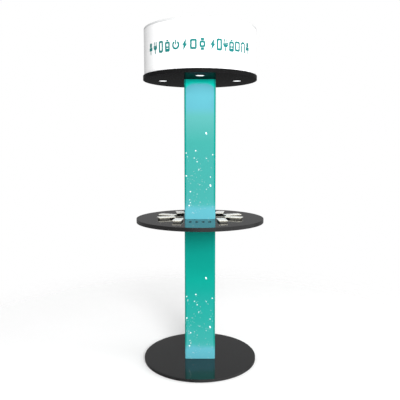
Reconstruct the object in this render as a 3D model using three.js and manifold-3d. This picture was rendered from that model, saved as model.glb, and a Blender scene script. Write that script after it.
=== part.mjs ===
// Free-standing phone charging kiosk: a round base, a rectangular column in two sections, a round
// counter with eight raised charging pads, and a round header with four lamps in its underside.
// Millimetres, +Z up, origin on the floor under the middle of the base. The front faces -Y.
import * as THREE from 'three';
import { mergeVertices } from 'three/addons/utils/BufferGeometryUtils.js';
import Module from 'manifold-3d';

const wasm = await Module();
wasm.setup();

// ---- Driving dimensions ----
const gap = 0.3;                    // air left between two pieces that touch
const roundSegments = 72;           // facets round the large discs
const smallSegments = 16;           // facets round bolts, pins and bores
const lampSegments = 24;
const edgeEase = 1.5;               // chamfer on the rims of the large discs

const baseRadius = 370;
const baseTop = 21;
const floorPadRadius = 345;
const floorPadThick = 2;
const ballastRadius = 300;
const ballastThick = 8;

const columnWidth = 197;
const columnDepth = 159;
const columnCorner = 10;
const columnWall = 3;
const plateThick = 6;               // the steel plates at the ends of the column sections
const plateWidth = 178;
const plateDepth = 142;
const plateCorner = 6;
const boltRadius = 5;               // foot bolts, hexagon heads
const boltHeadRadius = 9;
const boltHeadHeight = 6.4;
const boltSpacingX = 130;
const boltSpacingY = 100;
const cableHoleRadius = 22;

const channelWidth = 20;            // C-section uprights of the lower frame
const channelDepth = 40;
const channelWall = 3;
const channelOuterX = 88;
const channelMiddleY = -20;

const counterRadius = 412.7;
const counterTop = 950;
const counterThick = 24;
const usbRowY = 191;                // middle of each row of sockets, in front of and behind the column
const usbSpacing = 40;
const usbPerRow = 4;
const usbSocket = { width: 13, depth: 5.8, deep: 12 };
const usbCollar = { width: 16, depth: 10, height: 3 };   // the raised rim round each socket
const usbStrip = { width: 150, depth: 26, height: 20 };

const grooveWidth = 8;              // wire grooves in the underside, and the star-shaped cover over them
const grooveDeep = 9;
const coverWidth = 15;
const coverThick = 3;
const coverHubRadius = 62;

const wireHoleRadius = 4;           // one hole under each pad

const padLength = 113;
const padWidth = 55;
const padTop = counterTop + 13.4;
const padSlab = 4;
const padFootLength = 101;
const padFootWidth = 45;
const coilRadius = 20;
const coilThick = 2.4;
const padPlaces = [                 // one quarter of the counter: middle, and angle of the long axis from +X
  { x: 215.3, y: 59.2, turn: 22.3 },
  { x: 136.6, y: 173.1, turn: 83.3 },
];

const headerPlateRadius = 359.3;
const headerPlateBottom = 1826.6;
const headerPlateThick = 24;
const drumRadius = 351.7;
const drumWall = 4;
const overallHeight = 2134;
const lidThick = 12;
const lampCircle = 235;             // radius of the circle that the lamps stand on
const lampRadius = 28;
const mastSize = 60;
const mastWall = 3;
const mastFlange = { width: 150, depth: 110 };
const driver = { halfLength: 70, front: 90, back: 130, height: 30 };

const doorWidth = 142.8;
const doorBottom = 190.6;
const doorHeight = 688.8;
const doorClearance = 0.6;
const hingeX = doorWidth / 2 + doorClearance;
const hingePinY = columnDepth / 2 + gap + 3;
const knuckleRadius = 3;
const hingePinRadius = 1.4;
const hingeLeafThick = 1.2;
const knuckles = 5;
const ventSlot = { width: 64, height: 4, pitch: 12, rows: 5, fromEnd: 70 };
const lockX = -58;
const lockZ = 535;
const lockFlangeRadius = 9;
const lockBarrelRadius = 7;
const lockPlugRadius = 5;
const inletZ = 105;                 // middle of the power entry module on the back of the column

const equipmentPlate = { bottom: 220, top: 860, thick: 3 };
const powerSupply = { halfWidth: 49.5, bottom: 560, top: 719, depth: 38 };
const usbHub = { halfWidth: 55, bottom: 330, top: 440, depth: 26 };

// ---- Materials ----
function finish(color, roughness, metalness = 0) {
  return new THREE.MeshStandardMaterial({ color, roughness, metalness });
}
const blackLaminate = finish(0x232325, 0.32);
const blackRubber = finish(0x161616, 0.85);
const steelPlate = finish(0x8c8f92, 0.45, 1);
const zincSteel = finish(0xb4b8bc, 0.35, 1);
const printedSkin = finish(0x37b9ab, 0.4);
const whitePlastic = finish(0xf6f5f0, 0.45);
const blackPlastic = finish(0x141415, 0.5);
const lampLens = finish(0xffffff, 0.3);
const copperCoil = finish(0xb0703a, 0.4, 1);
const leadJacket = finish(0x1c1c1e, 0.6);

// ---- Solid helpers ----
function toSolid(geometry) {
  const bare = geometry.index ? geometry.toNonIndexed() : geometry.clone();
  bare.deleteAttribute('normal');
  bare.deleteAttribute('uv');
  const merged = mergeVertices(bare, 1e-4);
  return new wasm.Manifold(new wasm.Mesh({
    numProp: 3,
    vertProperties: new Float32Array(merged.attributes.position.array),
    triVerts: new Uint32Array(merged.index.array),
  }));
}

function toGeometry(solid) {
  const mesh = solid.getMesh();
  const geometry = new THREE.BufferGeometry();
  geometry.setAttribute('position', new THREE.BufferAttribute(new Float32Array(mesh.vertProperties), 3));
  geometry.setIndex(new THREE.BufferAttribute(new Uint32Array(mesh.triVerts), 1));
  return geometry;
}

function joined(...geometries) {
  const solids = geometries.map(toSolid);
  return toGeometry(solids.reduce((whole, solid) => whole.add(solid)));
}

function cut(geometry, ...tools) {
  const body = tools.map(toSolid).reduce((whole, tool) => whole.subtract(tool), toSolid(geometry));
  return toGeometry(body);
}

// A solid turned about the Z axis from [radius, height] points, given from the bottom up round the outside.
function turned(points, segments = roundSegments) {
  const profile = points.map(([radius, height]) => new THREE.Vector2(radius, height));
  return new THREE.LatheGeometry(profile, segments).rotateX(Math.PI / 2);
}

function disc(radius, bottom, top, ease = 0, segments = roundSegments) {
  const rim = ease > 0
    ? [[radius - ease, bottom], [radius, bottom + ease], [radius, top - ease], [radius - ease, top]]
    : [[radius, bottom], [radius, top]];
  return turned([[0, bottom], ...rim, [0, top]], segments);
}

function rod(radius, bottom, top, segments = smallSegments) {
  return disc(radius, bottom, top, 0, segments);
}

function block(low, high) {
  const size = high.map((value, axis) => value - low[axis]);
  const middle = high.map((value, axis) => (value + low[axis]) / 2);
  return new THREE.BoxGeometry(...size).translate(...middle);
}

function roundedRectangle(width, depth, corner) {
  const shape = new THREE.Shape();
  const x = width / 2 - corner;
  const y = depth / 2 - corner;
  shape.moveTo(x + corner, -y);
  shape.absarc(x, y, corner, 0, Math.PI / 2);
  shape.absarc(-x, y, corner, Math.PI / 2, Math.PI);
  shape.absarc(-x, -y, corner, Math.PI, Math.PI * 1.5);
  shape.absarc(x, -y, corner, Math.PI * 1.5, Math.PI * 2);
  return shape;
}

function upright(shape, bottom, top, curveSegments = 5) {
  const settings = { depth: top - bottom, bevelEnabled: false, curveSegments };
  return new THREE.ExtrudeGeometry(shape, settings).translate(0, 0, bottom);
}

// The bolts' places on the end plates, and the same bolt hole at each of them.
const boltSpots = [[-1, -1], [1, -1], [1, 1], [-1, 1]].map(([sx, sy]) =>
  [sx * boltSpacingX / 2, sy * boltSpacingY / 2]);

function boltHoles(top) {
  return boltSpots.map(([x, y]) => rod(boltRadius + gap, 0, top).translate(x, y, 0));
}

const kiosk = new THREE.Group();

function addPiece(name, geometry, material, parent = kiosk) {
  const mesh = new THREE.Mesh(geometry, material);
  mesh.name = name;
  parent.add(mesh);
  return mesh;
}

// ---- Base: laminated disc over a steel ballast plate, on a rubber floor pad ----
function addBase() {
  const discBottom = floorPadThick + gap;
  const ballastTop = discBottom + ballastThick;

  addPiece('floor_pad', disc(floorPadRadius, 0, floorPadThick, 0, 48), blackRubber);
  const ballast = disc(ballastRadius, discBottom, ballastTop);
  addPiece('ballast_plate', cut(ballast, ...boltHoles(baseTop + 1)), steelPlate);
  const recess = disc(ballastRadius + 2 * gap, discBottom - 1, ballastTop + gap);
  const baseDisc = disc(baseRadius, discBottom, baseTop, edgeEase);
  addPiece('base_disc', cut(baseDisc, recess, ...boltHoles(baseTop + 1)), blackLaminate);
}

// ---- Lower frame: foot plate, two C-section uprights and a head plate under the counter ----
const footPlateBottom = baseTop + gap;
const footPlateTop = footPlateBottom + plateThick;
const counterBottom = counterTop - counterThick;
const headPlateTop = counterBottom - gap;
const headPlateBottom = headPlateTop - plateThick;

function endPlate(bottom) {
  const outline = roundedRectangle(plateWidth, plateDepth, plateCorner);
  const cableHole = rod(cableHoleRadius, bottom - 1, bottom + plateThick + 1);
  return cut(upright(outline, bottom, bottom + plateThick, 3), cableHole);
}

function addFootBolt(index, x, y) {
  const headBottom = footPlateTop + gap;
  const head = rod(boltHeadRadius, headBottom, headBottom + boltHeadHeight, 6);
  const shank = rod(boltRadius, floorPadThick + 4 * gap, headBottom + 1);
  addPiece(`foot_bolt_${index}`, joined(head, shank).translate(x, y, 0), zincSteel);
}

function channel(side) {
  const web = channelOuterX;
  const mouth = channelOuterX - channelWidth;
  const inner = channelDepth / 2 - channelWall;
  const outer = channelDepth / 2;
  const outline = [
    [mouth, -outer], [web, -outer], [web, outer], [mouth, outer],
    [mouth, inner], [web - channelWall, inner], [web - channelWall, -inner], [mouth, -inner],
  ];
  const points = outline.map(([x, y]) => new THREE.Vector2(side * x, y + channelMiddleY));
  return upright(new THREE.Shape(points), footPlateTop + gap, headPlateBottom - gap);
}

function addLowerFrame() {
  addPiece('foot_plate', cut(endPlate(footPlateBottom), ...boltHoles(footPlateTop + 1)), steelPlate);
  boltSpots.forEach(([x, y], i) => addFootBolt(i + 1, x, y));
  addPiece('upright_left', channel(-1), steelPlate);
  addPiece('upright_right', channel(1), steelPlate);
  addPiece('head_plate', endPlate(headPlateBottom), steelPlate);
}

// ---- Column shells: rounded rectangular tubes with a printed skin ----
function columnShell(bottom, top) {
  const outline = roundedRectangle(columnWidth, columnDepth, columnCorner);
  const inside = roundedRectangle(
    columnWidth - 2 * columnWall, columnDepth - 2 * columnWall, columnCorner - columnWall);
  outline.holes.push(inside);
  return upright(outline, bottom, top);
}

const backFace = columnDepth / 2;
const moduleBody = { width: 48, height: 78, deep: 30 };

function addColumnShells() {
  const doorway = block(
    [-hingeX, 0, doorBottom - doorClearance],
    [hingeX, backFace + 1, doorBottom + doorHeight + doorClearance]);
  const halfWidth = moduleBody.width / 2 + gap;
  const halfHeight = moduleBody.height / 2 + gap;
  const moduleCutout = block(
    [-halfWidth, 0, inletZ - halfHeight],
    [halfWidth, backFace + 1, inletZ + halfHeight]);
  const lower = cut(columnShell(baseTop + gap, counterBottom - gap), doorway, moduleCutout);
  addPiece('lower_column_shell', lower, printedSkin);
  addPiece('upper_column_shell', columnShell(counterTop + gap, headerPlateBottom - gap), printedSkin);
}

// ---- Service door on the back: flush panel, piano hinge on its +X edge, cam lock on the other ----
const doorPivot = new THREE.Group();
kiosk.add(doorPivot);

function addDoor() {
  const panel = block(
    [-doorWidth / 2, backFace - columnWall, doorBottom],
    [doorWidth / 2, backFace, doorBottom + doorHeight]);
  const lockHole = rod(lockBarrelRadius + gap, backFace - 10, backFace + 10)
    .rotateX(-Math.PI / 2)
    .translate(lockX, 0, lockZ);
  const slots = [];
  const halfSlot = { width: ventSlot.width / 2, height: ventSlot.height / 2 };
  for (const groupZ of [doorBottom + ventSlot.fromEnd, doorBottom + doorHeight - ventSlot.fromEnd]) {
    for (let row = 0; row < ventSlot.rows; row += 1) {
      const z = groupZ + (row - (ventSlot.rows - 1) / 2) * ventSlot.pitch;
      slots.push(block(
        [-halfSlot.width, backFace - columnWall - 1, z - halfSlot.height],
        [halfSlot.width, backFace + 1, z + halfSlot.height]));
    }
  }
  addPiece('access_door', cut(panel, lockHole, ...slots), printedSkin, doorPivot);
}

// A hinge leaf with every second knuckle. side +1 is the frame's leaf and -1 is the door's.
function hingeLeaf(side, firstKnuckle) {
  const low = doorBottom + 12;
  const length = doorHeight - 24;
  const pitch = length / knuckles;
  const leafInner = hingePinY - knuckleRadius;
  const leafOuter = leafInner + hingeLeafThick;
  const near = hingeX + side * (knuckleRadius + 0.6);
  const far = hingeX + side * 14;
  const strip = (x0, x1, z0, z1) => block(
    [Math.min(x0, x1), leafInner, z0],
    [Math.max(x0, x1), leafOuter, z1]);
  const bodies = [strip(near, far, low, low + length)];
  const middle = hingeX + side * (knuckleRadius + 1.6);
  for (let i = firstKnuckle; i < knuckles; i += 2) {
    const z0 = low + i * pitch + gap;
    const z1 = low + (i + 1) * pitch - gap;
    bodies.push(rod(knuckleRadius, z0, z1).translate(hingeX, hingePinY, 0));
    bodies.push(strip(hingeX, middle, z0, z1));
  }
  const bore = rod(hingePinRadius + gap, low - 1, low + length + 1).translate(hingeX, hingePinY, 0);
  return cut(joined(...bodies), bore);
}

function addHinge() {
  addPiece('hinge_leaf_frame', hingeLeaf(1, 0), zincSteel);
  addPiece('hinge_leaf_door', hingeLeaf(-1, 1), zincSteel, doorPivot);
  const pin = rod(hingePinRadius, doorBottom + 12, doorBottom + doorHeight - 12, 12);
  addPiece('hinge_pin', pin.translate(hingeX, hingePinY, 0), zincSteel);
}

function addLock() {
  const face = backFace + gap;
  const barrelInner = backFace - 9;
  const alongY = (geometry) => geometry.rotateX(-Math.PI / 2).translate(lockX, 0, lockZ);
  const bore = rod(lockPlugRadius + gap, barrelInner - 1, face + 5);
  const flange = rod(lockFlangeRadius, face, face + 2.5);
  const body = cut(joined(flange, rod(lockBarrelRadius, barrelInner, face + 1)), bore);
  addPiece('lock_body', alongY(body), zincSteel, doorPivot);
  const camInner = barrelInner - gap - 2;
  const plug = rod(lockPlugRadius, camInner, face + 3);
  const cam = block([lockX - 6, camInner, lockZ - 26], [lockX + 6, camInner + 2, lockZ + 6]);
  addPiece('lock_plug', joined(alongY(plug), cam), zincSteel, doorPivot);
}

// ---- Power entry module low on the back: inlet socket, fuse drawer and rocker switch ----
const inletSocket = { width: 28, height: 20, deep: 17, z: inletZ - 25 };
const fuseSlot = { width: 26, height: 11, deep: 22, z: inletZ - 2 };
const switchWell = { width: 24, height: 17, deep: 9, z: inletZ + 24 };
const moduleFace = backFace + gap + 2.5;

function wellIn(well) {
  return block(
    [-well.width / 2, moduleFace - well.deep, well.z - well.height / 2],
    [well.width / 2, moduleFace + 1, well.z + well.height / 2]);
}

function addPowerModule() {
  const faceHalfWidth = moduleBody.width / 2 + 4;
  const faceHalfHeight = moduleBody.height / 2 + 4;
  const plate = block(
    [-faceHalfWidth, backFace + gap, inletZ - faceHalfHeight],
    [faceHalfWidth, moduleFace, inletZ + faceHalfHeight]);
  const body = block(
    [-moduleBody.width / 2, backFace - moduleBody.deep, inletZ - moduleBody.height / 2],
    [moduleBody.width / 2, backFace + 1, inletZ + moduleBody.height / 2]);
  const wells = [inletSocket, fuseSlot, switchWell].map(wellIn);
  addPiece('power_inlet', cut(joined(plate, body), ...wells), blackPlastic);

  const drawer = block(
    [-fuseSlot.width / 2 + 0.5, moduleFace - fuseSlot.deep + 1, fuseSlot.z - fuseSlot.height / 2 + 0.5],
    [fuseSlot.width / 2 - 0.5, moduleFace + 1.5, fuseSlot.z + fuseSlot.height / 2 - 0.5]);
  addPiece('fuse_drawer', drawer, blackPlastic);

  // The rocker is a shallow V in side view. It is built about its pivot and rests with its top half in.
  const halfHeight = switchWell.height / 2 - 1;
  const profile = new THREE.Shape([
    new THREE.Vector2(-5, -halfHeight * 0.7), new THREE.Vector2(-5, halfHeight * 0.7),
    new THREE.Vector2(2.4, halfHeight), new THREE.Vector2(1.2, 0), new THREE.Vector2(2.4, -halfHeight),
  ].reverse());
  const width = switchWell.width - 1.2;
  const rocker = new THREE.ExtrudeGeometry(profile, { depth: width, bevelEnabled: false });
  // The profile's first axis is outward (+Y), its second is up (+Z), and it is extruded along X.
  rocker.applyMatrix4(new THREE.Matrix4().makeBasis(
    new THREE.Vector3(0, 1, 0), new THREE.Vector3(0, 0, 1), new THREE.Vector3(1, 0, 0)));
  rocker.translate(-width / 2, 0, 0);
  const piece = addPiece('power_switch', rocker, blackPlastic);
  piece.position.set(0, moduleFace - 2, switchWell.z);
  piece.rotation.x = THREE.MathUtils.degToRad(8);
}

// ---- Electrics inside the lower column ----
function addElectrics() {
  const plateFace = channelMiddleY - channelDepth / 2 - gap;
  const halfWidth = channelOuterX - 2;
  const { bottom, top, thick } = equipmentPlate;
  const plate = block([-halfWidth, plateFace - thick, bottom], [halfWidth, plateFace, top]);
  addPiece('equipment_plate', plate, zincSteel);
  const mountFace = plateFace + gap;
  const unit = (box) => block(
    [-box.halfWidth, mountFace, box.bottom], [box.halfWidth, mountFace + box.depth, box.top]);
  addPiece('power_supply', unit(powerSupply), zincSteel);
  addPiece('usb_hub', unit(usbHub), blackPlastic);
}

// ---- Counter: laminated disc with two socket strips let in flush and wire grooves underneath ----
const padSpots = [];
for (const { x, y, turn } of padPlaces) {
  for (const [sx, sy] of [[1, -1], [-1, -1], [-1, 1], [1, 1]]) {
    padSpots.push({ x: sx * x, y: sy * y, turn: sx * sy * turn });
  }
}

// One straight bar along each wire run, from the middle of the counter out to a pad or a socket strip.
function wireway(start, width, bottom, top, longer) {
  const pads = padSpots.map(({ x, y }) => ({ reach: Math.hypot(x, y) + 6, angle: Math.atan2(y, x) }));
  const strips = [-1, 1].map((side) => ({ reach: usbRowY, angle: side * Math.PI / 2 }));
  return [...pads, ...strips].map(({ reach, angle }) =>
    block([start, -width / 2, bottom], [reach + longer, width / 2, top]).rotateZ(angle));
}

function addCounter() {
  const pockets = [-1, 1].map((side) => {
    const halfWidth = usbStrip.width / 2 + gap;
    const halfDepth = usbStrip.depth / 2 + gap;
    return block(
      [-halfWidth, side * usbRowY - halfDepth, counterTop - usbStrip.height - gap],
      [halfWidth, side * usbRowY + halfDepth, counterTop + 1]);
  });
  const cableHole = rod(cableHoleRadius, counterBottom - 1, counterTop + 1);
  const wireHole = () => rod(wireHoleRadius, counterBottom - 1, counterTop + 1, 12);
  const wireHoles = padSpots.map(({ x, y }) => wireHole().translate(x, y, 0));
  const grooves = wireway(40, grooveWidth, counterBottom - 1, counterBottom + grooveDeep, 0);
  const seatTop = counterBottom + coverThick + gap;
  const coverSeat = wireway(0, coverWidth + 2 * gap, counterBottom - 1, seatTop, gap);
  const hubSeat = rod(coverHubRadius + gap, counterBottom - 1, seatTop, 32);
  const top = disc(counterRadius, counterBottom, counterTop, edgeEase);
  const tools = [...pockets, cableHole, ...wireHoles, ...grooves, ...coverSeat, hubSeat];
  addPiece('counter_top', cut(top, ...tools), blackLaminate);

  const arms = wireway(0, coverWidth, counterBottom, counterBottom + coverThick, 0);
  const hub = rod(coverHubRadius, counterBottom, counterBottom + coverThick, 32);
  addPiece('wire_cover', cut(joined(hub, ...arms), cableHole), blackPlastic);
}

function addUsbStrip(name, side) {
  const low = counterTop - usbStrip.height;
  const onStrip = (size, x, bottom, top) => block(
    [x - size.width / 2, side * usbRowY - size.depth / 2, bottom],
    [x + size.width / 2, side * usbRowY + size.depth / 2, top]);
  const body = onStrip(usbStrip, 0, low, counterTop);
  const collarTop = counterTop + usbCollar.height;
  const spots = Array.from({ length: usbPerRow }, (_, i) => (i - (usbPerRow - 1) / 2) * usbSpacing);
  const collars = spots.map((x) => onStrip(usbCollar, x, counterTop - 1, collarTop));
  const sockets = spots.map((x) => onStrip(usbSocket, x, collarTop - usbSocket.deep, collarTop + 1));
  addPiece(name, cut(joined(body, ...collars), ...sockets), blackPlastic);
}

// A raised pad: a thin slab on a narrower foot, with the coil in a pocket under the slab.
function addPad(index, { x, y, turn }) {
  const holder = new THREE.Group();
  holder.position.set(x, y, 0);
  holder.rotation.z = THREE.MathUtils.degToRad(turn);
  kiosk.add(holder);
  const slabBottom = padTop - padSlab;
  const slab = upright(roundedRectangle(padLength, padWidth, 6), slabBottom, padTop, 4);
  const foot = upright(roundedRectangle(padFootLength, padFootWidth, 4), counterTop + gap, slabBottom + 1, 3);
  const pocketTop = slabBottom + 1.5;
  const pocket = rod(coilRadius + gap, counterTop - 1, pocketTop);
  addPiece(`charging_pad_${index}`, cut(joined(slab, foot), pocket), whitePlastic, holder);
  const coilTop = pocketTop - gap;
  const coil = turned([
    [8, coilTop - coilThick], [coilRadius, coilTop - coilThick], [coilRadius, coilTop], [8, coilTop],
    [8, coilTop - coilThick]], smallSegments);
  addPiece(`charging_coil_${index}`, coil, copperCoil, holder);
}

// ---- Upper section: a square mast welded between two flanges, inside the upper shell ----
function addMast() {
  const bottom = counterTop + gap;
  const top = headerPlateBottom - gap;
  const outline = roundedRectangle(mastFlange.width, mastFlange.depth, plateCorner);
  const flange = (low) => upright(outline, low, low + plateThick, 3);
  const half = mastSize / 2;
  const tube = block([-half, -half, bottom + 1], [half, half, top - 1]);
  const inner = half - mastWall;
  const hollow = block([-inner, -inner, bottom + plateThick], [inner, inner, top - plateThick]);
  const cableHole = rod(cableHoleRadius, bottom - 1, top + 1);
  const mast = joined(flange(bottom), tube, flange(top - plateThick));
  addPiece('mast', cut(mast, hollow, cableHole), steelPlate);
}

// ---- Header: laminated plate, drum wall, lid, lamps and their driver ----
const headerPlateTop = headerPlateBottom + headerPlateThick;

function lampSpots() {
  return [['front', 0, -1], ['right', 1, 0], ['back', 0, 1], ['left', -1, 0]];
}

function addHeader() {
  const holes = lampSpots().map(([, sx, sy]) =>
    rod(lampRadius, headerPlateBottom - 1, headerPlateTop + 1, lampSegments)
      .translate(sx * lampCircle, sy * lampCircle, 0));
  const cableHole = rod(cableHoleRadius, headerPlateBottom - 1, headerPlateTop + 1);
  const plate = disc(headerPlateRadius, headerPlateBottom, headerPlateTop, edgeEase);
  addPiece('header_plate', cut(plate, ...holes, cableHole), blackLaminate);

  const lidBottom = overallHeight - lidThick;
  const drumBottom = headerPlateTop + gap;
  const drumTop = lidBottom - gap;
  const inner = drumRadius - drumWall;
  addPiece('header_drum', turned([
    [inner, drumBottom], [drumRadius, drumBottom], [drumRadius, drumTop], [inner, drumTop],
    [inner, drumBottom]]), whitePlastic);
  addPiece('header_lid', disc(drumRadius, lidBottom, overallHeight, edgeEase), whitePlastic);
  const { halfLength, front, back, height } = driver;
  const driverCase = block(
    [-halfLength, front, headerPlateTop + gap],
    [halfLength, back, headerPlateTop + height]);
  addPiece('led_driver', driverCase, whitePlastic);
}

function addLamp(place, x, y) {
  const bezelBottom = headerPlateBottom - gap - 1.6;
  const bodyTop = headerPlateTop - 5;
  const bodyRadius = lampRadius - gap;
  const mouth = bodyRadius - 1.5;
  const housing = turned([
    [0, bodyTop - 2], [mouth, bodyTop - 2], [mouth, bezelBottom], [lampRadius + 3, bezelBottom],
    [lampRadius + 3, headerPlateBottom - gap], [bodyRadius, headerPlateBottom - gap],
    [bodyRadius, bodyTop], [0, bodyTop]], lampSegments);
  addPiece(`lamp_housing_${place}`, housing.translate(x, y, 0), blackPlastic);
  const lens = disc(mouth - gap, bezelBottom + 0.4, bezelBottom + 3.4, 0, lampSegments);
  addPiece(`lamp_lens_${place}`, lens.translate(x, y, 0), lampLens);
}

// Two leads inside the column: mains from the inlet to the power supply, and the header's feed up the
// middle of the column to the lamp driver.
function addLead(name, radius, steps, points) {
  const route = new THREE.CatmullRomCurve3(points.map((point) => new THREE.Vector3(...point)));
  const section = new THREE.Shape();
  section.absarc(0, 0, radius, 0, Math.PI * 2);
  const lead = new THREE.ExtrudeGeometry(section, { steps, extrudePath: route, curveSegments: 3 });
  addPiece(name, lead, leadJacket);
}

function addLeads() {
  const middleY = channelMiddleY;
  addLead('header_lead', 3, 36, [
    [0, middleY, powerSupply.top + gap], [0, middleY, 760], [0, -12, 830], [0, 0, 900], [0, 0, 1100],
    [0, 0, 1400], [0, 0, 1700], [0, 2, 1835], [0, 25, 1862], [0, 60, 1866], [0, driver.front - gap, 1866],
  ]);
  addLead('mains_lead', 3.5, 30, [
    [0, backFace - moduleBody.deep - gap, 85], [0, 38, 85], [8, 15, 92], [35, -8, 130], [61.5, -15, 220],
    [61.5, -15, 350], [61.5, -15, 480], [45, -20, 530], [30, -21, 548], [30, -21, powerSupply.bottom - gap],
  ]);
}

addBase();
addLowerFrame();
addColumnShells();
addDoor();
addHinge();
addLock();
addPowerModule();
addElectrics();
addCounter();
addUsbStrip('usb_strip_front', -1);
addUsbStrip('usb_strip_rear', 1);
padSpots.forEach((spot, i) => addPad(i + 1, spot));
addMast();
addHeader();
for (const [place, sx, sy] of lampSpots()) {
  addLamp(place, sx * lampCircle, sy * lampCircle);
}
addLeads();

export default kiosk;
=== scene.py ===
import math
import bpy
import bmesh
from mathutils import Matrix, Vector


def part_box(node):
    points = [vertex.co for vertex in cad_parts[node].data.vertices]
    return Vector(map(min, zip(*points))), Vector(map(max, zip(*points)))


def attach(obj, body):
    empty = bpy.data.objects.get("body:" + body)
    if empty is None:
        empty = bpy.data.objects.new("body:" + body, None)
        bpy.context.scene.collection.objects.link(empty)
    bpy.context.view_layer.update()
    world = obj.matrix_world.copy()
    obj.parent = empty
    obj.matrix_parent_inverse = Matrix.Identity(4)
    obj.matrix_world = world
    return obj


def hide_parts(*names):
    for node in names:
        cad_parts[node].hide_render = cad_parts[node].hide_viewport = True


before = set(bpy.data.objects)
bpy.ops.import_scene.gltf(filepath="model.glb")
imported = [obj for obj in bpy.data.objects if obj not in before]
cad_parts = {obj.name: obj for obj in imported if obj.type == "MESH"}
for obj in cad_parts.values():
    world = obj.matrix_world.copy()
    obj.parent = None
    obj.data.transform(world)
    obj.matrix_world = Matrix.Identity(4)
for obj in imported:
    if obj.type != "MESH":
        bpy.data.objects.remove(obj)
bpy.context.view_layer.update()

# ---- Camera ----
# A standing person's view of the front: 3.1 m away, at chest height, tipped a little down.
def new_object(name, data):
    made = bpy.data.objects.new(name, data)
    bpy.context.scene.collection.objects.link(made)
    return made


lens = bpy.data.cameras.new("view")
lens.sensor_width = 36.0
lens.lens = 43.563
camera = new_object("view", lens)
camera.location = (0.0, -3.140, 1.4065)
camera.rotation_euler = (math.radians(90.0 - 6.205), 0.0, 0.0)
bpy.context.scene.camera = camera
bpy.context.scene.view_settings.view_transform = "Standard"


# ---- Studio ----
# A white floor in an even surround, with soft lights from the front, the right and above, and a downward
# spot just under each of the header's lenses. Glossy surfaces don't see the lights: they see a dim room
# with one bright wall at its front right.
class Value:
    """A node's output, with arithmetic that adds Math nodes."""

    def __init__(self, nodes, socket):
        self.nodes = nodes
        self.socket = socket

    def math(self, operation, *values):
        numbers = {i: value for i, value in enumerate((self, *values))}
        return self.nodes.node("ShaderNodeMath", numbers, {"operation": operation})

    def __add__(self, other):
        return self.math("ADD", other)

    def __radd__(self, other):
        return self.math("ADD", other)

    def __sub__(self, other):
        return self.math("SUBTRACT", other)

    def __rsub__(self, other):
        return self.nodes.node("ShaderNodeMath", {0: other, 1: self}, {"operation": "SUBTRACT"})

    def __mul__(self, other):
        return self.math("MULTIPLY", other)

    def __pow__(self, other):
        return self.math("POWER", other)

    def __lt__(self, other):
        return self.math("LESS_THAN", other)

    def __gt__(self, other):
        return self.math("GREATER_THAN", other)

    def __abs__(self):
        return self.math("ABSOLUTE")

    def at_least(self, other):
        return self.math("MAXIMUM", other)

    def at_most(self, other):
        return self.math("MINIMUM", other)

    def wrapped(self, low, high):
        return self.math("WRAP", high, low)

    def rise(self, low, high):
        """0 at low and 1 at high, with a smooth step between them. low may be the greater."""
        steps = {0: self, 1: low, 2: high, 3: 0.0, 4: 1.0}
        return self.nodes.node("ShaderNodeMapRange", steps, {"interpolation_type": "SMOOTHSTEP"})

    def ramp(self, *stops):
        return self.nodes.node("ShaderNodeValToRGB", {0: self}, {"stops": stops})

    def parts(self):
        return [self.nodes.node("ShaderNodeSeparateXYZ", {0: self}, output=axis) for axis in range(3)]


class Nodes:
    """A node tree, and the one way that nodes are added to it."""

    def __init__(self, tree):
        self.tree = tree

    def node(self, kind, inputs=None, settings=None, output=0):
        made = self.tree.nodes.new(kind)
        for key, value in (settings or {}).items():
            if key == "stops":
                stops = made.color_ramp.elements
                for position, _ in value[2:]:
                    stops.new(position)
                for stop, (position, colour) in zip(stops, sorted(value, key=lambda pair: pair[0])):
                    stop.position = position
                    stop.color = colour if isinstance(colour, tuple) else (colour, colour, colour, 1.0)
            else:
                setattr(made, key, value)
        for key, value in (inputs or {}).items():
            self.feed(made.inputs[key], value)
        return Value(self, made.outputs[output])

    def feed(self, socket, value):
        if isinstance(value, Value):
            self.tree.links.new(value.socket, socket)
        else:
            socket.default_value = value

    def mix(self, factor, first, second):
        settings = {"data_type": "RGBA"}
        return self.node("ShaderNodeMix", {0: factor, 6: first, 7: second}, settings, output=2)


def soft_light(name, place, aim, size, power):
    light = bpy.data.lights.new(name, "AREA")
    light.shape = "DISK"
    light.size = size
    light.energy = power
    lamp = new_object(name, light)
    lamp.location = place
    lamp.rotation_euler = (Vector(aim) - Vector(place)).to_track_quat("-Z", "Y").to_euler()
    lamp.visible_glossy = False


soft_light("front_light", (0.95, -4.4, 2.3), (0.0, 0.0, 0.9), 2.2, 245.0)
soft_light("right_light", (4.0, -0.7, 1.7), (0.0, 0.0, 1.2), 1.8, 35.0)
soft_light("top_light", (0.2, 0.2, 5.0), (0.0, 0.0, 1.0), 2.5, 35.0)

lamp_places = ("front", "right", "back", "left")
lens_to_glow = 0.010
for place in lamp_places:
    lens_low, lens_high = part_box("lamp_lens_" + place)
    lens_x = (lens_low.x + lens_high.x) / 2
    lens_y = (lens_low.y + lens_high.y) / 2
    glow = bpy.data.lights.new("glow_" + place, "SPOT")
    glow.spot_size = math.pi
    glow.spot_blend = 0.05
    glow.energy = 0.72
    glow.shadow_soft_size = 0.02
    glow_lamp = new_object("glow_" + place, glow)
    glow_lamp.location = (lens_x, lens_y, lens_low.z - lens_to_glow)
    glow_lamp.visible_camera = False
    glow_lamp.visible_glossy = False

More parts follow.
